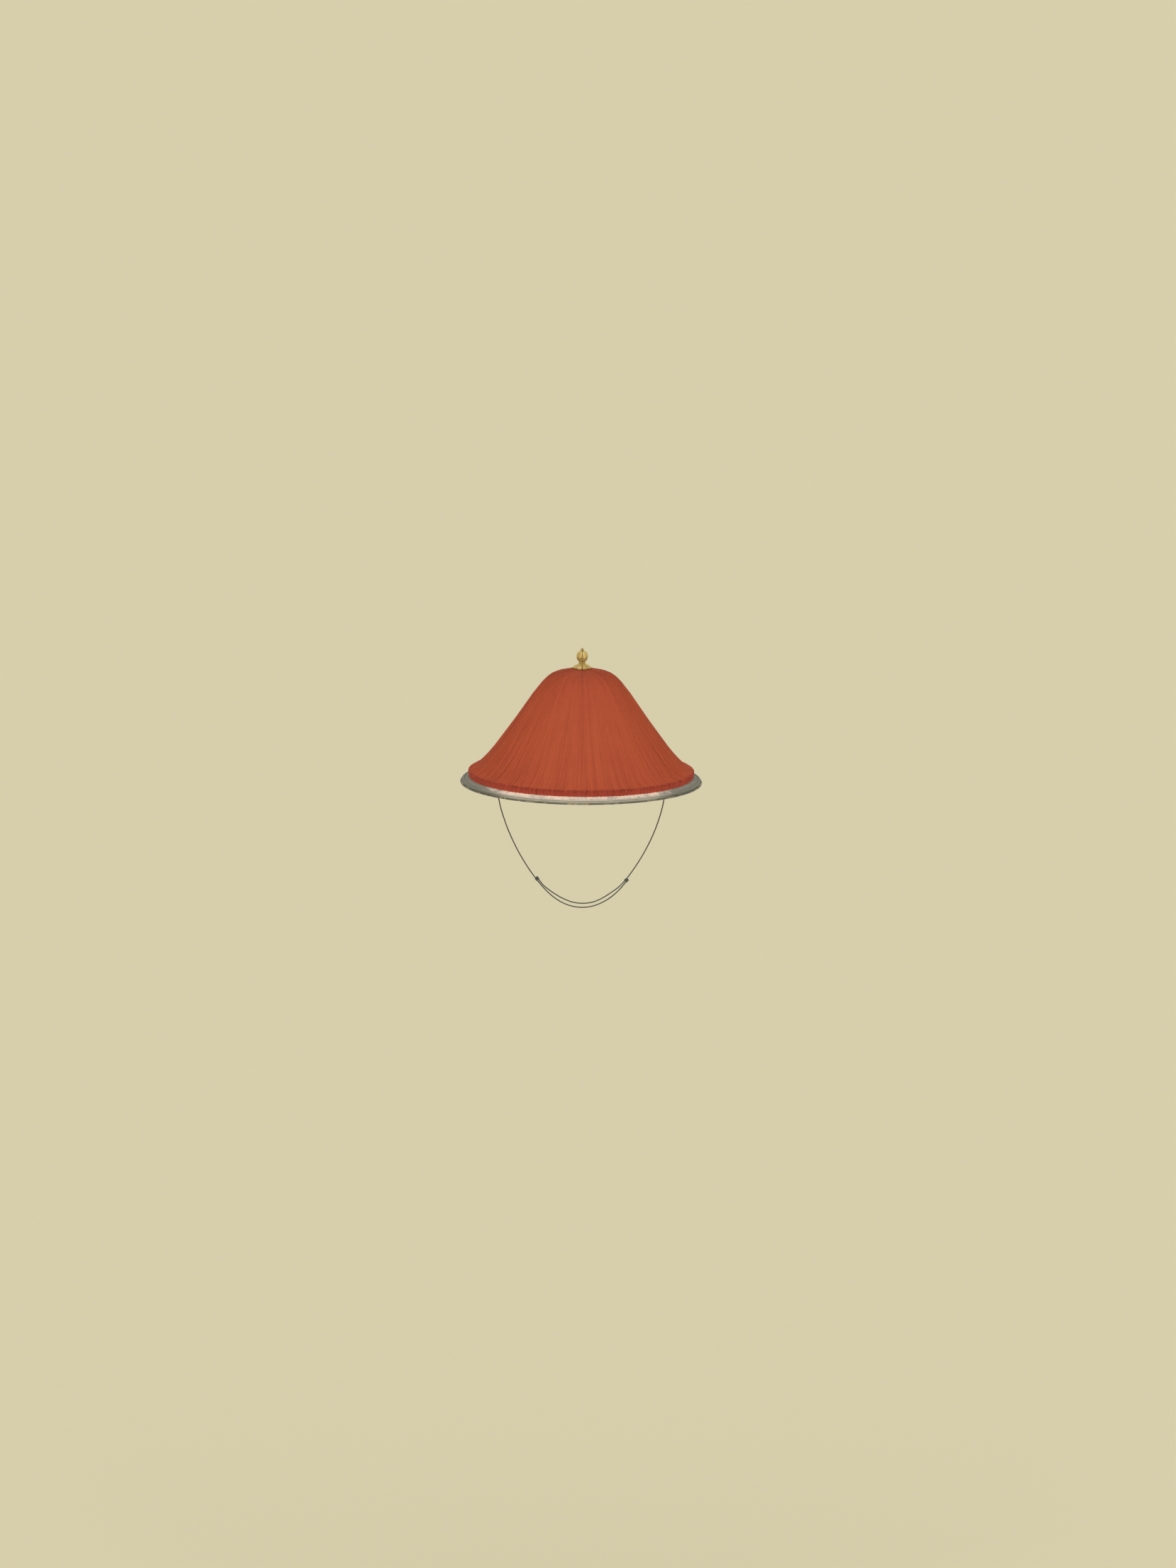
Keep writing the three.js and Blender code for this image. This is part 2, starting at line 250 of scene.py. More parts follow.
def set_camera():
    """Looks from the front and a little above, so far off that lines hardly converge."""
    data = bpy.data.cameras.new("camera")
    data.lens = LENS_MM
    data.sensor_width = SENSOR_MM
    distance = METRES_PER_PIXEL * PICTURE_SIZE[1] * LENS_MM / SENSOR_MM
    data.clip_end = 20 * distance
    back = Vector((0, -math.cos(VIEW_ELEVATION), math.sin(VIEW_ELEVATION)))
    turned_to = (-back).to_track_quat("-Z", "Y").to_matrix() @ Matrix.Rotation(VIEW_ROLL, 3, "Z")
    right, up = turned_to.col[0], turned_to.col[1]
    across = (PICTURE_SIZE[0] / 2 - ORIGIN_PIXEL[0]) * METRES_PER_PIXEL
    down = (PICTURE_SIZE[1] / 2 - ORIGIN_PIXEL[1]) * METRES_PER_PIXEL
    camera = add_object("camera", data)
    stand = Matrix.Translation(right * across - up * down + back * distance)
    camera.matrix_world = stand @ turned_to.to_4x4()
    bpy.context.scene.camera = camera


def set_floor():
    """A wide pale floor."""
    corners = [(x * FLOOR_REACH, y * FLOOR_REACH, FLOOR_Z) for x, y in ((-1, -1), (1, -1), (1, 1), (-1, 1))]
    mesh = bpy.data.meshes.new("floor")
    mesh.from_pydata(corners, [], [(0, 1, 2, 3)])
    paper, _, _ = new_look("floor_paper", Base_Color=(*PAPER, 1), Roughness=1.0, Specular_IOR_Level=0.0)
    mesh.materials.append(paper)
    add_object("floor", mesh)


def set_light():
    """An even, softly bright sky with one wide, weak sun, and a backdrop that matches the floor."""
    world = bpy.data.worlds.new("soft_sky")
    world.use_nodes = True
    tree = world.node_tree
    sky = tree.nodes["Background"]
    sky.inputs["Color"].default_value = (*SKY, 1)
    sky.inputs["Strength"].default_value = SKY_STRENGTH
    backdrop = add_node(tree, "ShaderNodeBackground", {"Color": (*BACKDROP, 1)})
    rays = add_node(tree, "ShaderNodeLightPath")
    inputs = {0: rays.outputs["Is Camera Ray"], 1: sky.outputs[0], 2: backdrop.outputs[0]}
    seen = add_node(tree, "ShaderNodeMixShader", inputs)
    tree.links.new(seen.outputs[0], tree.nodes["World Output"].inputs["Surface"])
    bpy.context.scene.world = world

    sun = bpy.data.lights.new("soft_sun", "SUN")
    sun.energy = SUN_STRENGTH
    sun.angle = SUN_SPREAD
    add_object("soft_sun", sun).rotation_euler = (SUN_TILT, 0, 0)
    bpy.context.scene.view_settings.view_transform = "Standard"


# Mesh making

def make_piece(name, points, quads, triangles, look, slot, nodes=(), **values):
    """One piece of the hat. Its look reads the values: lie has a vector for each point, others a number."""
    points = np.asarray(points, np.float32).reshape(-1, 3)
    quads = np.asarray(quads, np.int32).reshape(-1, 4)
    triangles = np.asarray(triangles, np.int32).reshape(-1, 3)
    corners = np.concatenate([quads.ravel(), triangles.ravel()])
    starts = np.concatenate([np.arange(len(quads)) * 4, len(quads) * 4 + np.arange(len(triangles)) * 3])
    mesh = bpy.data.meshes.new(name)
    mesh.vertices.add(len(points))
    mesh.vertices.foreach_set("co", points.ravel())
    mesh.loops.add(len(corners))
    mesh.loops.foreach_set("vertex_index", corners.astype(np.int32))
    mesh.polygons.add(len(starts))
    mesh.polygons.foreach_set("loop_start", starts.astype(np.int32))
    mesh.update(calc_edges=True)
    mesh.validate()
    mesh.polygons.foreach_set("use_smooth", np.ones(len(mesh.polygons), bool))
    for key, value in values.items():
        kind, field = ("FLOAT_VECTOR", "vector") if key == "lie" else ("FLOAT", "value")
        layer = mesh.attributes.new(key, kind, "POINT")
        layer.data.foreach_set(field, np.asarray(value, np.float32).ravel())
    mesh.materials.append(look)
    piece = add_object(name, mesh)
    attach(piece, "root")
    if nodes:
        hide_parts(*nodes)
    return piece


def outward(points, quads, triangles):
    """The same faces, turned over if the closed surface that they make is inside out."""
    p = np.asarray(points, float).reshape(-1, 3)
    parts = [quads[:, [0, 1, 2]], quads[:, [0, 2, 3]], triangles]
    corners = np.concatenate([part for part in parts if len(part)])
    a, b, c = p[corners[:, 0]], p[corners[:, 1]], p[corners[:, 2]]
    if np.einsum("ij,ij->i", a, np.cross(b, c)).sum() < 0:
        return quads[:, ::-1], triangles[:, ::-1]
    return quads, triangles


def grid_faces(rows, columns, rows_close=False):
    """Quads between neighbouring rows of points, each row a closed loop."""
    i, j = np.meshgrid(np.arange(rows if rows_close else rows - 1), np.arange(columns), indexing="ij")
    i, j = i.ravel(), j.ravel()
    below, beside = (i + 1) % rows, (j + 1) % columns
    row, next_row = i * columns, below * columns
    return np.stack([row + j, row + beside, next_row + beside, next_row + j], axis=1)


def capped(points, poles):
    """Rows of points round a form, closed at both ends by a pole: all its points, quads and triangles."""
    rows, columns = points.shape[:2]
    all_points = np.concatenate([points.reshape(-1, 3), poles])
    j = np.arange(columns)
    beside = (j + 1) % columns
    first_pole, last_row = rows * columns, (rows - 1) * columns
    triangles = np.concatenate([
        np.stack([np.full(columns, first_pole), beside, j], axis=1),
        np.stack([np.full(columns, first_pole + 1), last_row + j, last_row + beside], axis=1),
    ])
    return (all_points, *outward(all_points, grid_faces(rows, columns), triangles))


def ring_piece(name, points, look, slot, nodes=(), **values):
    """A closed ring: points has rows round the section, which close, and columns round the hat."""
    rows, columns = points.shape[:2]
    quads, triangles = outward(points, grid_faces(rows, columns, rows_close=True), np.zeros((0, 3), int))
    make_piece(name, points, quads, triangles, look, slot, nodes, **values)


def even_angles(count):
    """count angles, evenly spaced over a full turn."""
    return FULL_TURN * np.arange(count) / count


def unit(vectors):
    """The same directions, with length 1."""
    return vectors / np.linalg.norm(vectors, axis=-1, keepdims=True)


def tube_arrays(lines, outs, half_widths, half_heights, sides):
    """Closed tubes along many lines: lines is (tubes, places, 3), and outs points off the surface there.

    Gives the points, the quads, the triangles that close the ends, and each point's angle."""
    tubes, places = lines.shape[:2]
    tangents = unit(np.gradient(lines, axis=1))
    across = unit(np.cross(tangents, outs))
    up = np.cross(across, tangents)
    angles = even_angles(sides) + math.pi / 2
    wide = (half_widths[..., None] * np.cos(angles))[..., None] * across[:, :, None]
    high = (half_heights[..., None] * np.sin(angles))[..., None] * up[:, :, None]
    points = lines[:, :, None] + wide + high
    first = np.arange(tubes)[:, None, None] * places * sides
    quads = (grid_faces(places, sides)[None] + first).reshape(-1, 4)
    fan = np.array([(0, k + 1, k) for k in range(1, sides - 1)])
    ends = np.concatenate([fan, fan[:, ::-1] + (places - 1) * sides])
    triangles = (ends[None] + first).reshape(-1, 3)
    quads, triangles = outward(points, quads, triangles)
    return points, quads, triangles, np.broadcast_to(angles, points.shape[:3])


def for_sides(value, points):
    """A value for each place of each tube, repeated for the points round it."""
    return np.broadcast_to(value[..., None], points.shape[:3])


def smooth_line(points, count):
    """count places along a smooth curve through the given points, evenly spaced by length."""
    points = np.asarray(points, float)
    steps = np.linalg.norm(np.diff(points, axis=0), axis=1)
    at = np.concatenate([[0], np.cumsum(steps)])
    slopes = np.gradient(points, at, axis=0)
    wanted = np.linspace(0, at[-1], count)
    i = np.clip(np.searchsorted(at, wanted, side="right") - 1, 0, len(steps) - 1)
    h = steps[i][:, None]
    t = (wanted - at[i])[:, None] / h
    from_start = (1 + 2 * t) * (1 - t) ** 2 * points[i] + t * (1 - t) ** 2 * h * slopes[i]
    from_end = t * t * (3 - 2 * t) * points[i + 1] + t * t * (t - 1) * h * slopes[i + 1]
    return from_start + from_end


def lengths_along(line):
    """How far along the line each of its places is."""
    return np.concatenate([[0], np.cumsum(np.linalg.norm(np.diff(line, axis=0), axis=1))])


def normals_of(line):
    """Outward normals of an outline of (radius, height) that runs from the top down on the outside."""
    padded = np.concatenate([line[:1], line, line[-1:]])
    run = padded[2:] - padded[:-2]
    return unit(np.stack([-run[:, 1], run[:, 0]], axis=1))


def directions(path, closed=False):
    """Which way a line runs at each of its places."""
    if closed:
        return unit(np.roll(path, -1, axis=0) - np.roll(path, 1, axis=0))
    return unit(np.gradient(path, axis=0))


def round_the_axis(radius, height, turn):
    """Points at those radii and heights. turn starts at the front and grows to the right."""
    return np.stack([radius * np.sin(turn), -radius * np.cos(turn), height + 0 * turn], axis=-1)


def turns_for(rows, columns):
    """The turn of each column round the hat, the same in every row."""
    return np.broadcast_to(even_angles(columns), (rows, columns))


def turned(outline, columns):
    """An outline of (radius, height) turned round the axis."""
    return round_the_axis(outline[:, :1], outline[:, 1:2], turns_for(len(outline), columns))


def raised(outline, side, by, turn):
    """A turned outline, moved off itself along side."""
    return round_the_axis(outline[:, :1] + side[:, :1] * by, outline[:, 1:2] + side[:, 1:2] * by, turn)


def at_turn(table, turn, soft=False):
    """What a table of values spread round the axis says at a turn, blended between neighbours."""
    spot = (turn / FULL_TURN % 1) * len(table)
    low = np.floor(spot).astype(int)
    part = spot - low
    if soft:
        part = part * part * (3 - 2 * part)
    return table[low % len(table)] * (1 - part) + table[(low + 1) % len(table)] * part


# Looks

def add_node(tree, kind, inputs=None, **settings):
    """A shader node. Its inputs are plain values or other nodes' outputs."""
    made = tree.nodes.new(kind)
    for name, value in settings.items():
        setattr(made, name, value)
    for name, value in (inputs or {}).items():
        if isinstance(value, bpy.types.NodeSocket):
            tree.links.new(value, made.inputs[name])
        else:
            made.inputs[name].default_value = value
    return made


def new_look(name, **sockets):
    """A material with a Principled shader, whose uniform values are set on its own sockets."""
    look = bpy.data.materials.new(name)
    look.use_nodes = True
    shader = look.node_tree.nodes["Principled BSDF"]
    for socket, value in sockets.items():
        shader.inputs[socket.replace("_", " ")].default_value = value
    return look, look.node_tree, shader


def read(tree, key, output="Fac"):
    """A value that is stored on the piece's points."""
    return add_node(tree, "ShaderNodeAttribute", attribute_name=key).outputs[output]


def place(tree):
    return add_node(tree, "ShaderNodeTexCoord").outputs["Object"]


def noise(tree, vector, scale, detail):
    inputs = {"Vector": vector, "Scale": scale, "Detail": detail, "Roughness": 0.55}
    return add_node(tree, "ShaderNodeTexNoise", inputs).outputs["Fac"]


def calculate(tree, operation, *values):
    return add_node(tree, "ShaderNodeMath", dict(enumerate(values)), operation=operation).outputs[0]


def add(tree, first, *others):
    for other in others:
        first = calculate(tree, "ADD", first, other)
    return first


def spread(tree, value, low, high, new_low=0.0, new_high=1.0):
    """The value stretched from one range to another, and held inside it."""
    inputs = {"Value": value, "From Min": low, "From Max": high, "To Min": new_low, "To Max": new_high}
    return add_node(tree, "ShaderNodeMapRange", inputs).outputs["Result"]


def vary(tree, grain, low, high):
    """Noise, which mostly lies between 0.3 and 0.7, stretched from low to high."""
    return spread(tree, grain, 0.3, 0.7, low, high)


def ramp(tree, value, stops):
    """Colours by value: stops are (place, colour)."""
    made = add_node(tree, "ShaderNodeValToRGB", {"Fac": value})
    steps = made.color_ramp.elements
    while len(steps) < len(stops):
        steps.new(0.5)
    for step, (at, colour) in zip(steps, stops):
        step.position = at
        step.color = (*colour, 1)
    return made.outputs["Color"]


def blend(tree, factor, first, second):
    """From a colour that another node gives to a plain one."""
    inputs = {0: factor, 6: first, 7: (*second, 1)}
    return add_node(tree, "ShaderNodeMix", inputs, data_type="RGBA").outputs[2]


def set_surface(tree, shader, colour, roughness, height, depth, strength):
    """Gives the shader its colour, roughness and fine relief."""
    bump = add_node(tree, "ShaderNodeBump", {"Height": height, "Distance": depth, "Strength": strength})
    tree.links.new(colour, shader.inputs["Base Color"])
    tree.links.new(roughness, shader.inputs["Roughness"])
    tree.links.new(bump.outputs["Normal"], shader.inputs["Normal"])


def stretched(tree, key, across, along):
    """The surface's own directions, as stored on its points, scaled unequally: noise becomes streaks."""
    inputs = {"Vector": read(tree, key, "Vector"), "Scale": (across, along, 1)}
    return add_node(tree, "ShaderNodeMapping", inputs).outputs["Vector"]


def silk_look(name, tones):
    """Combed floss: each strand has its own tone, with fine fibres along it and a soft shine."""
    look, tree, shader = new_look(name, Specular_IOR_Level=0.10)
    fibres = noise(tree, stretched(tree, "lie", across=5200, along=90), scale=1.0, detail=2.0)
    patches = noise(tree, place(tree), scale=26, detail=3.0)
    tone = add(tree, read(tree, "tone"), vary(tree, patches, -0.05, 0.05), vary(tree, fibres, -0.14, 0.14))
    roughness = vary(tree, fibres, 0.40, 0.62)
    set_surface(tree, shader, ramp(tree, tone, tones), roughness, fibres, depth=0.00015, strength=0.8)
    return look


def sine(tree, value, rate):
    return calculate(tree, "SINE", calculate(tree, "MULTIPLY", value, rate))


def woven(tree, threads_round, pitch):
    """Height of a plain weave: an even number of threads round the hat, others across them, pitch apart."""
    spot = add_node(tree, "ShaderNodeSeparateXYZ", {"Vector": place(tree)})
    turn = calculate(tree, "ARCTAN2", spot.outputs[0], spot.outputs[1])
    round_hat = sine(tree, turn, threads_round / 2)
    across_it = sine(tree, read(tree, "along"), math.pi / pitch)
    return calculate(tree, "MULTIPLY", round_hat, across_it)


def from_axis(tree):
    """How far a place is from the hat's axis."""
    flat = add_node(tree, "ShaderNodeVectorMath", {0: place(tree), 1: (1, 1, 0)}, operation="MULTIPLY")
    return add_node(tree, "ShaderNodeVectorMath", {0: flat.outputs[0]}, operation="LENGTH").outputs["Value"]


def painted_end_shade(tree, amount):
    """Painted shade of the brim's curvature: a value that goes from 0 to amount towards the brim's left and
    right ends.
    """
    x = add_node(tree, "ShaderNodeSeparateXYZ", {"Vector": place(tree)}).outputs[0]
    return spread(tree, calculate(tree, "ABSOLUTE", x), *PAINTED_SHADE_ENDS, 0.0, amount)


def straw_look():
    """Pale gauze over straw: mottled with grey on top, greyer towards its rim, and greyer still towards the
    brim's ends with painted shade.
    """
    look, tree, shader = new_look("straw_look", Specular_IOR_Level=0.25)
    rim = spread(tree, from_axis(tree), *GREY_RIM, 0.0, 0.25)
    mottle = noise(tree, place(tree), scale=95, detail=4.0)
    grey = add(tree, painted_end_shade(tree, 0.95), rim, spread(tree, mottle, 0.42, 0.66, 0.0, 0.6))
    grey = calculate(tree, "MULTIPLY", grey, spread(tree, read(tree, "inside"), 0, 1, 1, 0.2))
    threads = woven(tree, threads_round=1040, pitch=0.0009)
    between = spread(tree, threads, -1, 1, 0.0, 0.25)
    colour = blend(tree, between, ramp(tree, grey, STRAW_TONES), STRAW_SHADOW)
    roughness = vary(tree, mottle, 0.65, 0.85)
    set_surface(tree, shader, colour, roughness, threads, depth=0.00012, strength=0.8)
    return look


def cloth_look(name, threads_round, pitch, tones, uneven_by, tone_at):
    """Woven cloth: tone_at gives the tone of a place, which then varies a little by patches and threads."""
    look, tree, shader = new_look(name, Specular_IOR_Level=0.25, Sheen_Weight=0.1)
    weave = woven(tree, threads_round, pitch)
    uneven = noise(tree, place(tree), scale=70, detail=4.0)
    tone = add(tree, tone_at(tree), vary(tree, uneven, -uneven_by, uneven_by))
    tone = add(tree, tone, spread(tree, weave, -1, 1, -0.15, 0.15))
    roughness = vary(tree, uneven, 0.7, 0.9)
    set_surface(tree, shader, ramp(tree, tone, tones), roughness, weave, depth=0.00010, strength=0.7)
    return look


def ribbon_tone(tree):
    """Pale along the ribbon's inner edge, then a thin dark line and grey, and darker at the brim's ends
    with painted shade.
    """
    reach = from_axis(tree)
    pale = spread(tree, reach, *RIBBON_PALE, 1.0, 0.08)
    grey = spread(tree, reach, *RIBBON_GREY, 0.0, 0.45)
    return add(tree, pale, grey, painted_end_shade(tree, -0.95))


def cord_look(name, tones):
    """Twisted silk: dark between the plies with painted shade, as its stored tone gives it, and with fine
    fibres.
    """
    look, tree, shader = new_look(name, Specular_IOR_Level=0.3, Sheen_Weight=0.15)
    fibres = noise(tree, place(tree), scale=5200, detail=2.0)
    slow = noise(tree, place(tree), scale=60, detail=2.0)
    tone = add(tree, read(tree, "tone"), vary(tree, slow, -0.12, 0.12), vary(tree, fibres, -0.08, 0.08))
    roughness = vary(tree, fibres, 0.45, 0.7)
    set_surface(tree, shader, ramp(tree, tone, tones), roughness, fibres, depth=0.00008, strength=0.5)
    return look


def gilt_look():
    """Gilt copper: worn bright on its crests, dark and dull in its chased lines."""
    look, tree, shader = new_look("gilt_look", Metallic=0.75)
    wear = noise(tree, place(tree), scale=900, detail=4.0)
    cloud = noise(tree, place(tree), scale=160, detail=3.0)
    shade = add(tree, read(tree, "tone"), spread(tree, wear, 0.62, 0.78, 0.0, 0.35))
    colour = blend(tree, spread(tree, shade, 0.15, 0.9), ramp(tree, cloud, GOLD_TONES), TARNISH)
    roughness = spread(tree, shade, 0.0, 1.0, 0.68, 0.90)
    set_surface(tree, shader, colour, roughness, wear, depth=0.00005, strength=0.5)
    return look


# The silk fringe

CREST = smooth_line(SILK[:, :2], 400)
CREST_AT = lengths_along(CREST)
STREAKS_LOW = rng.random(STREAKS_LOW_DOWN)
STREAKS_HIGH = rng.random(STREAKS_ON_CROWN)


def on_crest(share):
    """Radius, height and outward normal of the crest at a share of its length."""
    columns = (*CREST.T, *normals_of(CREST).T)
    return [np.interp(share, CREST_AT / CREST_AT[-1], column) for column in columns]


def groove(turn):
    """1 in the middle of the groove between two locks, and 0 on a lock's crest."""
    return (0.5 + 0.5 * np.cos(LOCKS * turn)) ** 3


def groove_depth(turn, radius):
    """How far the silk dips between two locks."""
    return LOCK_RELIEF * radius / BRIM_RADIUS * groove(turn)


def hem_rise(turn):
    """How much shorter than the longest lock the silk is at that turn."""
    lock = np.floor(turn / FULL_TURN * LOCKS)
    return HEM_UNEVEN * (1 + np.sin(lock * UNEVEN_STEP)) / 2


def streak(turn, radius):
    """Tone of the combed silk: thin darker lines among lighter ones, as wide on the crown as low down."""
    low_down = np.clip((radius - CROWN_RADIUS) / (FLARE_RADIUS - CROWN_RADIUS), 0, 1)
    value = low_down * at_turn(STREAKS_LOW, turn) + (1 - low_down) * at_turn(STREAKS_HIGH, turn)
    return 0.5 + STREAK_CONTRAST * (value - 0.5)


# painted shade and light on the silk, by its distance from the axis
def painted_shade_by_radius(radius):
    return np.interp(radius, PAINTED_SHADE_RADII, PAINTED_SHADES)


def swelling(radius):
    """How far the silk swells up round the finial's foot, which presses on it."""
    return SWELL * np.exp(-((radius - SWELL_RADIUS) / SWELL_WIDTH) ** 2)


def fringe_body(look):
    """The mass of silk under the strands: locks over a backing that follows the straw."""
    columns, rows = LOCKS * 8, 48
    r, z, nr, nz = (v[:, None] for v in on_crest(np.linspace(0.0, 0.984, rows)))
    turn = turns_for(rows, columns)
    sink = BODY_SINK + groove_depth(turn, r) - swelling(r)
    outer = round_the_axis(r - nr * sink, z - nz * sink, turn)
    backing = smooth_line(SILK[:, :2] - normals_of(SILK[:, :2]) * (SILK[:, 2:] - GAP), 12)[::-1]
    edge = HEM + np.array([(-HEM_SINK - 0.0004, 0.0050), (-HEM_SINK, 0.0014)])
    points = np.concatenate([outer, turned(edge, columns), turned(backing, columns)])
    turn = turns_for(len(points), columns)
    reach = np.linalg.norm(points[..., :2], axis=2)
    lie = np.stack([turn * BRIM_RADIUS, points[..., 2], 0 * turn], axis=-1)
    # painted shade: the body is a little darker than the strands over it, and darker still near the hem,
    # where it lies behind the cut ends
    tone = streak(turn, reach) - 0.04 - painted_shade_by_radius(reach) - 0.25 * (reach > HEM[0] - 0.003)
    ring_piece("silk_fringe", points, look, "silk_fringe", ["fringe"], tone=tone, lie=lie)


def silk_strands(name, lift, look):
    """Strands laid from the top down, each a fine closed tube that widens downwards."""
    count = STRANDS
    share = np.array(STRAND_PLACES)[None] - 0.004 * rng.random((count, 1)) ** 2
    share[:, -1] += 0.004 * (rng.random(count) - 0.3)
    start_turn = FULL_TURN * (np.arange(count) + rng.random(count)) / count
    phase = math.pi * (share * 1.3 + rng.random((count, 1)))
    sway = rng.normal(0, STRAND_SWAY, (count, 1)) * np.sin(phase)
    middle = (np.floor(start_turn / FULL_TURN * LOCKS) + 0.5) * FULL_TURN / LOCKS
    pull = (middle - start_turn)[:, None] * STRAND_PULL * share ** 2
    turn = start_turn[:, None] + sway * share + pull
    r, z, nr, nz = on_crest(share)
    ripple = 0.00010 * np.sin(FULL_TURN * (share * 2 + rng.random((count, 1))))
    height = (lift * rng.random((count, 1)) + ripple) * (0.35 + 0.65 * r / BRIM_RADIUS)
    drop = GROOVE_SHARE * groove_depth(turn, r) + STRAND_SINK - height - swelling(r)
    lines = round_the_axis(r - nr * drop, z - nz * drop, turn)
    outs = round_the_axis(nr, nz, turn)
    uneven = 0.75 + 0.5 * rng.random((count, 1))
    half_width = STRAND_HALF_WIDTH * (0.22 + 0.78 * r / BRIM_RADIUS) * uneven
    half_height = half_width * STRAND_FLATNESS
    points, quads, triangles, angles = tube_arrays(lines, outs, half_width, half_height, sides=3)
    tone = streak(start_turn[:, None], r) + rng.normal(0, 0.05, (count, 1)) - painted_shade_by_radius(r)
    along = for_sides(share * CREST_AT[-1], points)
    across = angles * 0.0004 + np.arange(count)[:, None, None] * 0.013
    lie = np.stack([across, along, 0 * along], axis=-1)
    strands = make_piece(name, points, quads, triangles, look, "silk_fringe",
                         tone=for_sides(tone, points), lie=lie)
    strands.data.set_sharp_from_angle(angle=math.radians(75))


def silk_ends(look):
    """The cut ends of the floss, layer over layer, on the fringe's lower face."""
    run = unit(CREST[-1] - CREST[-12])
    layer = np.repeat(np.arange(END_LAYERS), ENDS_IN_LAYER)
    depth = (layer + 0.82 + 0.45 * rng.random(len(layer))) / (END_LAYERS + 0.45)
    order = np.tile(np.arange(ENDS_IN_LAYER), END_LAYERS) + 0.5 * (layer % 2) + 0.6 * rng.random(len(layer))
    turn = FULL_TURN * order / ENDS_IN_LAYER
    face = CREST[-1] + (HEM - CREST[-1]) * depth[:, None]
    back = 0.0005 * rng.random(len(layer)) + 0.3 * HEM_NOTCH * groove(turn) + 0.3 * hem_rise(turn)
    tip = face - run * back[:, None]
    along = np.array([-END_LENGTH, 0.0])
    line = tip[:, None] + run * along[None, :, None]
    lines = round_the_axis(line[..., 0], line[..., 1], turn[:, None])
    beside = np.stack([np.cos(turn), np.sin(turn), 0 * turn], axis=-1)
    roll = FULL_TURN * rng.random((len(turn), 1))
    outs = round_the_axis(-run[1], run[0], turn) * np.cos(roll) + beside * np.sin(roll)
    half = np.full(line.shape[:2], END_RADIUS) * (1.0, 0.8)
    points, quads, triangles, angles = tube_arrays(lines, outs[:, None], half, half, sides=3)
    tone = streak(turn, BRIM_RADIUS) + rng.normal(0, 0.08, len(turn))
    # the cut ends grow lighter row by row towards the bottom; the highest rows, under the strands, carry
    # painted shade
    tone += 0.14 * (layer / (END_LAYERS - 1) - 0.5) - RIM_PAINTED_SHADE * 0.4 ** layer
    # painted shade on the inner end of each cut end, deep in the fringe
    inner_end_painted_shade = np.array([0.15, 0.0])
    along = for_sides(along[None], points)
    lie = np.stack([angles * 0.0004 + turn[:, None, None], along, 0 * along], axis=-1)
    make_piece("silk_cut_ends", points, quads, triangles, look, "silk_fringe",
               tone=for_sides(tone[:, None] - inner_end_painted_shade, points), lie=lie)


def make_fringe():
    floss = silk_look("silk_look", FLOSS_TONES)
    fringe_body(floss)
    silk_strands("silk_strands_under", LOW_LIFT, floss)
    silk_strands("silk_strands_over", HIGH_LIFT, floss)
    silk_ends(silk_look("cut_silk_painted_light_look", CUT_TONES_PAINTED_LIGHT))


# The straw bell, and what finishes its edge

ALONG = np.array((math.cos(BRIM_SLOPE), -math.sin(BRIM_SLOPE)))
OUT = np.array((math.sin(BRIM_SLOPE), math.cos(BRIM_SLOPE)))
EDGE_BACK = EDGE_CORD_RADIUS + GAP + TAPE + GAP
EDGE_MIDDLE = np.array((BRIM_RADIUS - EDGE_CORD_RADIUS, 0.0)) - ALONG * EDGE_BACK
RIBBON_INSIDE = STRAW_WALL / 2 + GAP
RIBBON_OUTSIDE = RIBBON_INSIDE + TAPE


def from_edge(off, onward):
    """Places near the brim's edge: so far off the middle of the straw, and so far on from its end."""
    return EDGE_MIDDLE + OUT * np.asarray(off)[..., None] + ALONG * np.asarray(onward)[..., None]


def straw_lines():
    """Outer and inner outlines of the straw bell, from the top down."""
    under = SILK[:, :2] - normals_of(SILK[:, :2]) * SILK[:, 2:]
    rough = np.concatenate([[(BORE_RADIUS, under[0, 1])], under, [from_edge(STRAW_WALL / 2, 0)]])
    outer = smooth_line(rough, 130)
    inner = outer - normals_of(outer) * STRAW_WALL
    inner[0] = (BORE_RADIUS, outer[0, 1] - STRAW_WALL)
    return outer, inner


def straw_bell(look):
    """The whole bell, with a slight swelling where each rib of straw runs down."""
    columns = 3 * STRAW_RIBS
    outer, inner = straw_lines()
    outline = np.concatenate([outer[::4], outer[-1:], inner[::-1][::4], inner[:1]])
    turn = turns_for(len(outline), columns)
    swell = RIB_RELIEF * np.cos(STRAW_RIBS * turn) * np.clip(outline[:, :1] / 0.06, 0, 1)
    points = raised(outline, normals_of(outline), swell, turn)
    inside = np.arange(len(outline)) > len(outer[::4])
    ring_piece("straw_bell", points, look, "straw", ["hat_body"],
               along=np.repeat(lengths_along(outline), columns), inside=np.repeat(inside, columns))


def brim_weave(look):
    """The woven top of the brim, where the fringe leaves it bare: strands over and under each other."""
    columns, rows_per_strand = WEAVE_STRANDS * 3, 3
    rows = WEAVE_ROWS * rows_per_strand + 1
    outer, _ = straw_lines()
    coarse = outer[::4]
    line = smooth_line(np.concatenate([coarse[coarse[:, 0] > WEAVE_FROM], outer[-1:]]), rows)
    side = normals_of(line)
    turn = turns_for(rows, columns)
    i = np.arange(rows)[:, None]
    fade = np.clip(np.minimum(i, rows - 1 - i) / rows_per_strand, 0, 1)
    wave = np.sin(WEAVE_STRANDS / 2 * turn) * np.sin(math.pi * i / rows_per_strand)
    top = raised(line, side, (WEAVE_THICKNESS + WEAVE_RELIEF * wave) * fade, turn)
    hidden = [rows - 1, rows // 2, 0]
    points = np.concatenate([top, raised(line, side, -WEAVE_THICKNESS, turn)[hidden]])
    along = lengths_along(line)
    along = np.repeat(np.concatenate([along, along[hidden]]), columns)
    ring_piece("brim_weave", points, look, "straw", along=along, inside=np.zeros(along.size))


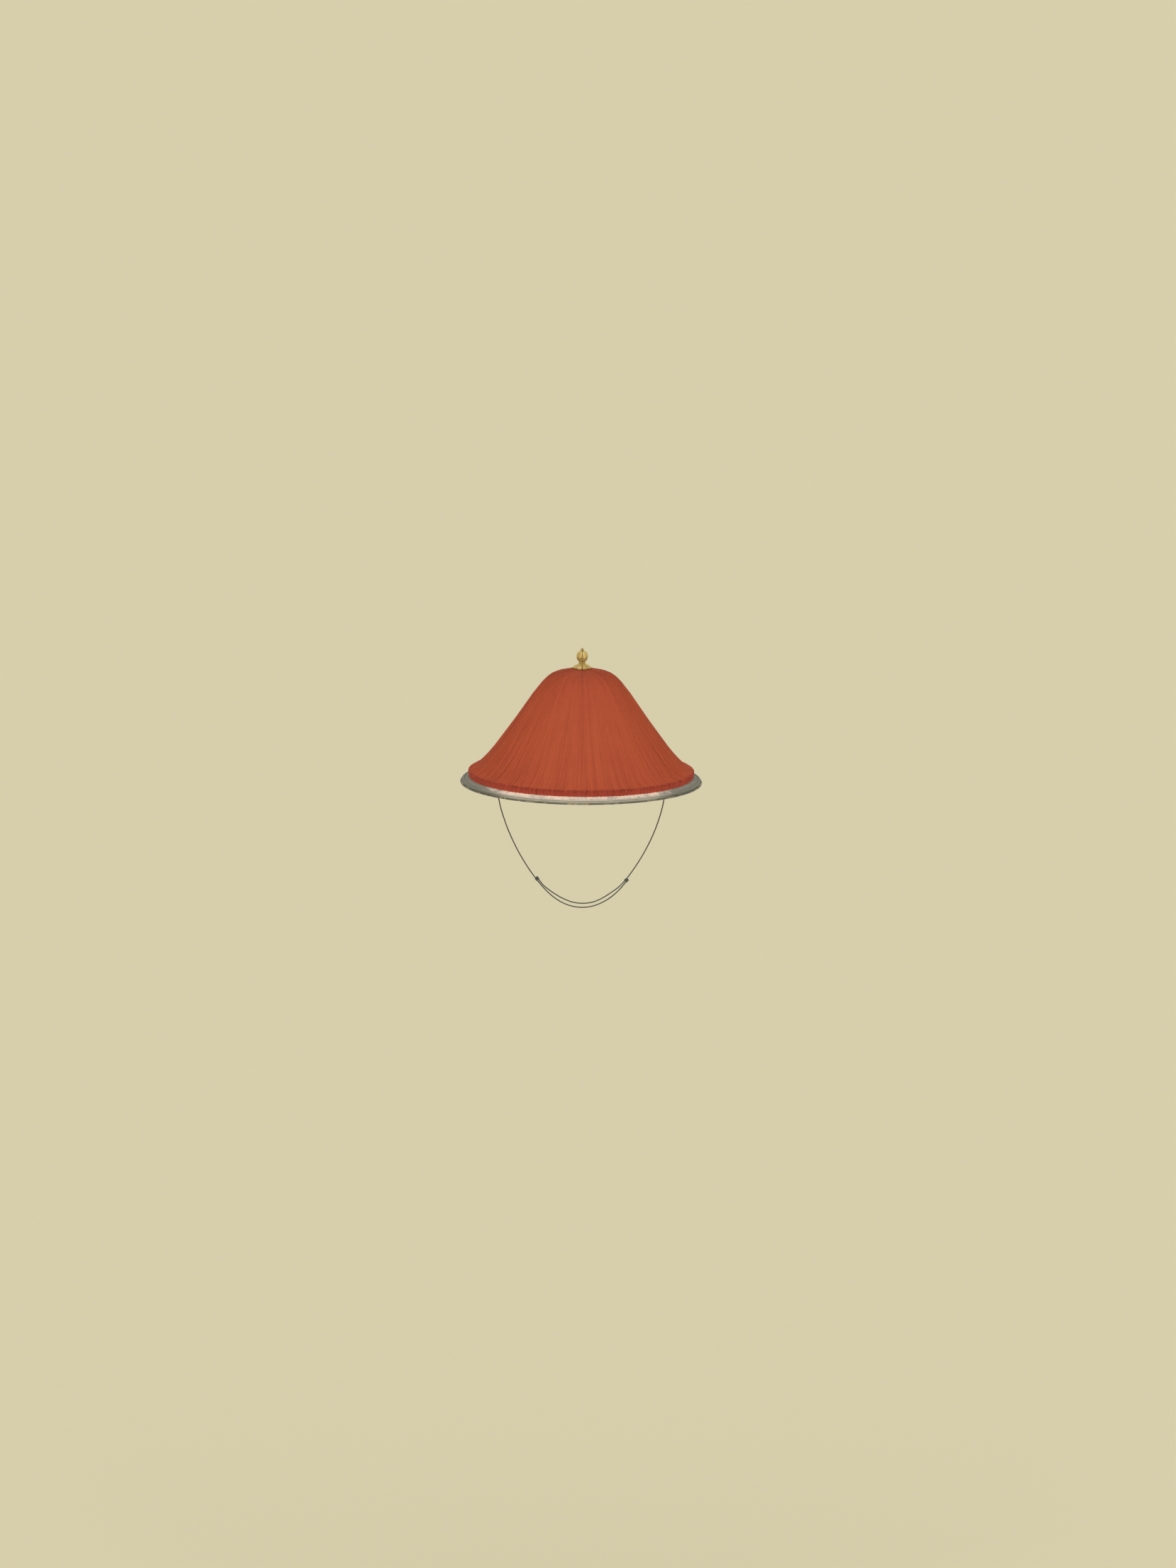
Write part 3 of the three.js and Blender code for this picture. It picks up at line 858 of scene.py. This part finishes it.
def brim_binding(look):
    """The ribbon folded over the brim's edge, drawn in a little by each stitch."""
    columns = 3 * STITCHES
    upper = [(RIBBON_INSIDE + TAPE / 2, -FLAP), (RIBBON_OUTSIDE, -FLAP + 0.0004), (RIBBON_OUTSIDE, -0.001),
             (RIBBON_OUTSIDE, GAP / 2), (STRAW_WALL * 0.42, GAP + TAPE)]
    lower = [(-off, onward) for off, onward in upper[::-1]]
    hollow = [(-RIBBON_INSIDE, -FLAP + 0.0002), (-RIBBON_INSIDE, GAP), (RIBBON_INSIDE, GAP),
              (RIBBON_INSIDE, -FLAP + 0.0002)]
    fold = smooth_line(from_edge(*np.array(upper + lower).T), 22)
    outline = np.concatenate([fold, from_edge(*np.array(hollow).T)])
    turn = turns_for(len(outline), columns)
    back = np.clip(((EDGE_MIDDLE - outline) @ ALONG) / FLAP, 0, 1)[:, None]
    draw = STITCH_DRAW * back ** 2 * (0.5 + 0.5 * np.cos(STITCHES * turn))
    off = ((outline - EDGE_MIDDLE) @ OUT)[:, None]
    inward = -np.sign(off) * (np.abs(off) > RIBBON_INSIDE + TAPE * 0.7)
    points = raised(outline, OUT[None], draw * inward, turn)
    along = np.repeat(lengths_along(outline), columns)
    ring_piece("ribbon_binding", points, look, "ribbon", ["brim_binding"], along=along)


def binding_stitches(look):
    """The thread that sews the ribbon down: short slanted stitches over its upper and lower edge."""
    part = np.linspace(0, 1, 5)[None]
    turn = FULL_TURN * (np.arange(STITCHES)[:, None] + 0.25 * part) / STITCHES
    onward = (-FLAP - 0.0007 + 0.0018 * part) + 0 * turn
    arch = 0.0006 * np.sin(math.pi * part) + 0 * turn
    lines, outs = [], []
    for side in (1, -1):
        line = from_edge(side * (RIBBON_OUTSIDE - 0.0005 + arch), onward)
        lines.append(round_the_axis(line[..., 0], line[..., 1], turn))
        outs.append(round_the_axis(side * OUT[0], side * OUT[1], turn))
    lines, outs = np.concatenate(lines), np.concatenate(outs)
    half = np.full(lines.shape[:2], STITCH_THREAD)
    points, quads, triangles, angles = tube_arrays(lines, outs, half, half, sides=5)
    tone = np.full(angles.shape, 0.5)
    make_piece("binding_stitches", points, quads, triangles, look, "edge_silk", tone=tone)


def twisted(path, normal, radius, plies, lay, sides, closed=False):
    """A twisted cord along a line in a plane: its points in rows along it, and how far out each is."""
    bite = 0.3  # how deep the groove between two plies is, as a share of the radius
    across = np.cross(directions(path, closed), normal)
    angle = even_angles(sides)
    turned_by = FULL_TURN * lengths_along(path) / lay
    crest = 0.5 + 0.5 * np.cos(plies * (angle[None] - turned_by[:, None]))
    reach = radius * (1 - bite * (1 - np.sqrt(crest)))
    aside = np.cos(angle)[None, :, None] * across[:, None]
    off = np.sin(angle)[None, :, None] * normal
    return path[:, None] + reach[..., None] * (aside + off), crest


def edge_cord(look):
    """The dark cord along the brim's edge, of two plies, worn paler here and there."""
    ring = even_angles(EDGE_CORD_TURNS * 8)
    radius = BRIM_RADIUS - EDGE_CORD_RADIUS
    path = round_the_axis(radius, 0.0, ring)
    lay = FULL_TURN * radius / EDGE_CORD_TURNS
    points, crest = twisted(path, (0, 0, 1), EDGE_CORD_RADIUS, 2, lay, sides=12, closed=True)
    worn = np.clip((at_turn(rng.random(190), ring, soft=True) - 0.68) / 0.12, 0, 1)
    # painted shade between the plies, and paler where the cord is worn
    tone = 0.7 * crest + 0.8 * worn[:, None]
    ring_piece("edge_cord_twist", points, look, "edge_silk", ["edge_cord"], tone=tone)


def edge_gold(look):
    """A gold thread wound round the edge cord, mostly sunk in it, that shows here and there."""
    ring = even_angles(GOLD_TURNS * 16)
    wind = ring * GOLD_TURNS
    shows = np.clip((at_turn(rng.random(110), ring, soft=True) - 0.75) / 0.08, 0, 1)
    reach = EDGE_CORD_RADIUS * (0.35 + 0.58 * shows)
    radius = BRIM_RADIUS - EDGE_CORD_RADIUS + reach * np.cos(wind)
    path = round_the_axis(radius, reach * np.sin(wind), ring)
    tangent = directions(path, closed=True)
    across = np.cross(tangent, round_the_axis(np.cos(wind), np.sin(wind), ring))
    up = np.cross(across, tangent)
    angle = even_angles(6)[None, :, None]
    points = path[:, None] + GOLD_THREAD * (np.cos(angle) * across[:, None] + np.sin(angle) * up[:, None])
    ring_piece("edge_gold_thread", points, look, "gilt", tone=np.zeros(points.shape[:2]))


def make_brim():
    straw = straw_look()
    straw_bell(straw)
    brim_weave(straw)
    brim_binding(cloth_look("ribbon_look", threads_round=2000, pitch=0.00045, tones=RIBBON_TONES,
                            uneven_by=0.15, tone_at=ribbon_tone))
    binding_stitches(cord_look("stitch_look", STITCH_TONES))
    edge_cord(cord_look("edge_silk_look", EDGE_TONES))


# The gilt finial

def cut(rise, shade, distance, width, depth, dark=1.0):
    """Cuts a line into the metal where distance is near zero, and darkens it."""
    line = np.exp(-(distance / width) ** 2)
    return rise - depth * line, np.maximum(shade, dark * line)


def chased_piece(name, node, rows, lobes, columns, count, chase, foot, look):
    """A gilt piece round the post: smooth lobes, with lines and dots chased into them."""
    outline = smooth_line(rows, count)
    turn = turns_for(count, columns)
    radius = outline[:, :1] + outline[:, 2:] * (1 - np.cos(lobes * turn)) / 2
    height = outline[:, 1:2] + 0 * turn
    part = (turn / FULL_TURN * lobes) % 1 * 2 - 1  # across each lobe, from -1 to 1
    rise, shade = chase(radius, height, part, math.pi * radius / lobes)
    side = normals_of(outline[:, :2])
    points = round_the_axis(radius + side[:, :1] * rise, foot + height + side[:, 1:] * rise, turn)
    bore = [round_the_axis(BORE_RADIUS, foot + rows[end, 1], turn[:1]) for end in (-1, 0)]
    points = np.concatenate([points, *bore])
    tone = np.concatenate([shade, np.ones((2, columns))])
    ring_piece(name, points, look, "gilt", [node], tone=tone)


def chase_base(radius, height, part, half):
    """Petals: a deep line between each two, a rim inside it, a vein, and a line round the foot."""
    rise, shade = np.zeros_like(radius), np.full_like(radius, BASE_SHADE)
    rise, shade = cut(rise, shade, (1 - np.abs(part)) * half, width=0.00048, depth=0.0007)
    level = height / BASE[0, 1]
    petal = np.sqrt(np.clip(1 - ((level - 0.30) / 0.62) ** 2, 0, 1)) * 0.72
    to_rim = (np.abs(part) - petal) * half + 10 * (level > 0.92)
    rise, shade = cut(rise, shade, to_rim, width=0.00018, depth=0.00025)
    to_vein = np.where((level > 0.25) & (level < 0.75), part * half, 1.0)
    rise, shade = cut(rise, shade, to_vein, width=0.00014, depth=0.00015, dark=0.7)
    return cut(rise, shade, height - 0.0012, width=0.00016, depth=0.0003, dark=0.9)


def chase_ball(radius, height, part, half):
    """Upright lines between the lobes, an oval in each, and punched dots in it, over it and under it."""
    rise, shade = np.zeros_like(radius), np.zeros_like(radius)
    rise, shade = cut(rise, shade, (1 - np.abs(part)) * half, width=0.00048, depth=0.0006)
    across, up = part * half, height - BALL[0, 1] / 2
    oval_width, oval_height = 0.0019, 0.0040
    to_oval = (np.hypot(across / oval_width, up / oval_height) - 1) * oval_width
    rise, shade = cut(rise, shade, to_oval, width=0.00017, depth=0.00025, dark=0.8)
    for level, size in ((-0.0053, 0.0004), (-0.0022, 0.0009), (0.0053, 0.0004)):
        rise, shade = cut(rise, shade, np.hypot(across, up - level), width=size, depth=0.0003)
    return rise, shade


def chase_collar(radius, height, part, half):
    """Round beads, drawn in and dark between each two."""
    bead = np.sqrt(np.clip(1 - part ** 2, 0, 1))
    return BEAD_DEPTH * (bead - 1), np.clip(1 - 1.7 * bead, 0, 1)


def finial_tip(foot, look):
    """The bud on top, with a groove at the front and at each quarter."""
    outline = smooth_line(TIP, 40)
    turn = turns_for(len(outline), 96)
    part = (turn / FULL_TURN * TIP_GROOVES) % 1 * 2 - 1
    distance = (1 - np.abs(part)) * math.pi * outline[:, :1] / TIP_GROOVES
    rise, shade = cut(0 * turn, 0 * turn + TIP_SHADE, distance, width=0.00040, depth=0.0003)
    points = raised(outline, normals_of(outline), rise, turn) + (0, 0, foot)
    poles = [(0, 0, foot + TIP[0, 1] + 0.00002), (0, 0, foot)]
    tone = np.concatenate([shade.ravel(), (1, 1)])
    make_piece("tip_bud", *capped(points, poles), look, "gilt", ["finial_tip"], tone=tone)


def make_finial(gilt):
    """From the foot up, each piece a gap above the one under it."""
    foot = FINIAL_FOOT
    for name, node, rows, lobes, columns, count, chase in (
            ("lotus_base", "finial_base", BASE, PETALS, 320, 72, chase_base),
            ("beaded_collar", "finial_collar", COLLAR, BEADS, 240, 24, chase_collar),
            ("chased_ball", "finial_ball", BALL, PETALS, 240, 88, chase_ball)):
        chased_piece(name, node, rows, lobes, columns, count, chase, foot, gilt)
        foot += rows[0, 1] + GAP
    finial_tip(foot, gilt)
    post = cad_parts["finial_post"]
    post.data.materials.clear()
    post.data.materials.append(gilt)


# The head band and its tabs

def head_band(look):
    """The cloth-covered band that sits round the head, with softly rounded edges."""
    columns = 264
    _, inner = straw_lines()
    radii, heights = inner[np.argsort(inner[:, 0])].T
    outer_radius = HEAD_RADIUS + BAND_WALL

    def top_at(radius):
        return np.interp(radius, radii, heights) - 0.0009

    def wall(radius):
        upper = np.linspace(top_at(radius) - BAND_SOFT, 0.014, 9)
        return [(radius, z) for z in (*upper, 0.010, 0.003, BAND_SOFT)]

    foot = [(outer_radius - BAND_SOFT, 0.0), (HEAD_RADIUS + BAND_SOFT, 0.0)]
    top = [(radius, top_at(radius)) for radius in (HEAD_RADIUS + BAND_SOFT, outer_radius - BAND_SOFT)]
    outline = np.array(wall(outer_radius) + foot + wall(HEAD_RADIUS)[::-1] + top)
    along = np.repeat(lengths_along(outline), columns)
    ring_piece("cloth_head_band", turned(outline, columns), look, "band_cloth", ["head_band"], along=along)


def strap_tab(name, side, look):
    """A thick cloth tab with rounded edges, sewn to the band."""
    near = HEAD_RADIUS + BAND_WALL + GAP
    arc = np.linspace(-math.pi / 2, math.pi / 2, 17)
    outline = [(STRAP_X + LOOP_HALF_WIDTH * math.cos(a), LOOP_HALF_WIDTH * math.sin(a)) for a in arc]
    outline += [(near, y) for y in np.linspace(LOOP_HALF_WIDTH, -LOOP_HALF_WIDTH, 9)]
    outline = np.array(outline)
    centre = outline.mean(axis=0)
    inwards = unit(centre - outline)
    lower = [(3.0, 0.0), (1.0, 0.0), (0.3, LOOP_SOFT * 0.3), (0.0, LOOP_SOFT)]  # how far in, and how high
    upper = [(inset, LOOP_THICK - level) for inset, level in lower[::-1]]
    rows = []
    for inset, level in (*lower, (0.0, LOOP_THICK / 2), *upper):
        flat = side * (outline + inwards * inset * LOOP_SOFT)
        rows.append(np.column_stack([flat, np.full(len(flat), LOOP_BOTTOM + level)]))
    poles = [(side * centre[0], side * centre[1], LOOP_BOTTOM + level) for level in (0, LOOP_THICK)]
    points, quads, triangles = capped(np.array(rows), poles)
    make_piece(f"strap_tab_{name}", points, quads, triangles, look, "band_cloth",
               [f"strap_loop_{name}"], along=points[:, 0])


def make_band():
    cloth = cloth_look("band_cloth_look", threads_round=860, pitch=0.0007, tones=BAND_TONES,
                       uneven_by=0.2, tone_at=lambda tree: 0.5)
    head_band(cloth)
    strap_tab("left", -1, cloth)
    strap_tab("right", 1, cloth)


# The chin strap

def strap_cord(path):
    """The strap's twisted cord with both ends closed: points, quads, triangles and tone."""
    points, crest = twisted(path, (0, 1, 0), STRAP_RADIUS, 3, STRAP_LAY, sides=15)
    # its tone: painted shade between the plies
    return (*capped(points, [path[0], path[-1]]), np.concatenate([(crest * 0.8).ravel(), (0.2, 0.2)]))


def in_plane(route):
    return np.array([(x, 0.0, z) for x, z in route])


def round_two_strands(distance, straight, reach):
    """Where a thread round two strands is, and its way out: both as (towards the second, across)."""
    half_way = straight + math.pi * reach
    on = distance % (2 * half_way)
    first_half = on < half_way
    on = np.where(first_half, on, on - half_way)
    angle = np.maximum(on - straight, 0) / reach - math.pi / 2
    out = np.column_stack([np.cos(angle), np.sin(angle)])
    out *= np.where(first_half, 1, -1)[:, None]
    run = np.where(first_half, np.minimum(on, straight), straight - np.minimum(on, straight))
    return np.column_stack([run, 0 * run]) + reach * out, out


def strap_knot(name, route, side, look):
    """The sliding knot: thread wound round the strand that passes and the end of the other one."""
    points = in_plane(route)
    centre = points[KNOT_POINT]
    onward = unit(points[KNOT_POINT + 1] - points[KNOT_POINT - 1])
    to_end = side * unit(np.array((0, 0, 1)) - onward * onward[2])
    across = np.cross(onward, to_end)
    reach = STRAP_RADIUS + KNOT_THREAD * 0.9
    count = KNOT_TURNS * 40
    at = np.linspace(0, KNOT_TURNS * 2 * (KNOT_OFFSET + math.pi * reach), count)
    run, out = round_two_strands(at, KNOT_OFFSET, reach)
    down = (at / at[-1] - 0.5) * (KNOT_LENGTH - 2 * KNOT_THREAD)
    line = centre + run[:, :1] * to_end + run[:, 1:] * across + down[:, None] * onward
    outs = out[:, :1] * to_end + out[:, 1:] * across
    half = np.full((1, count), KNOT_THREAD)
    winding, quads, triangles, _ = tube_arrays(line[None], outs[None], half, half, sides=12)
    winding = winding.reshape(-1, 3)
    core_run = np.linspace(-0.56, 0.62, 20)[:, None] * KNOT_LENGTH
    core_line = centre + to_end * KNOT_OFFSET + core_run * onward
    core, core_quads, core_triangles, core_tone = strap_cord(core_line)
    points = np.concatenate([winding, core])
    quads = np.concatenate([quads, core_quads + len(winding)])
    triangles = np.concatenate([triangles, core_triangles + len(winding)])
    tone = np.concatenate([np.full(len(winding), 0.45), core_tone])
    return make_piece(f"sliding_knot_{name}", points, quads, triangles, look, "strap_silk",
                      [f"strap_knot_{name}"], tone=tone)


def make_strap():
    """Each cord carries the knot that is tied round it."""
    silk = cord_look("strap_silk_look", STRAP_TONES)
    for name, route, side in (("left", LEFT_ROUTE, 1), ("right", RIGHT_ROUTE, -1)):
        path = smooth_line(in_plane(route), 560)
        points, quads, triangles, tone = strap_cord(path)
        cord = make_piece(f"chin_cord_{name}", points, quads, triangles, silk, "strap_silk",
                          [f"strap_cord_{name}"], tone=tone)
        knot = strap_knot(name, route, side, silk)


set_camera()
set_floor()
set_light()
make_strap()
gilt = gilt_look()
make_fringe()
make_brim()
edge_gold(gilt)
make_finial(gilt)
make_band()
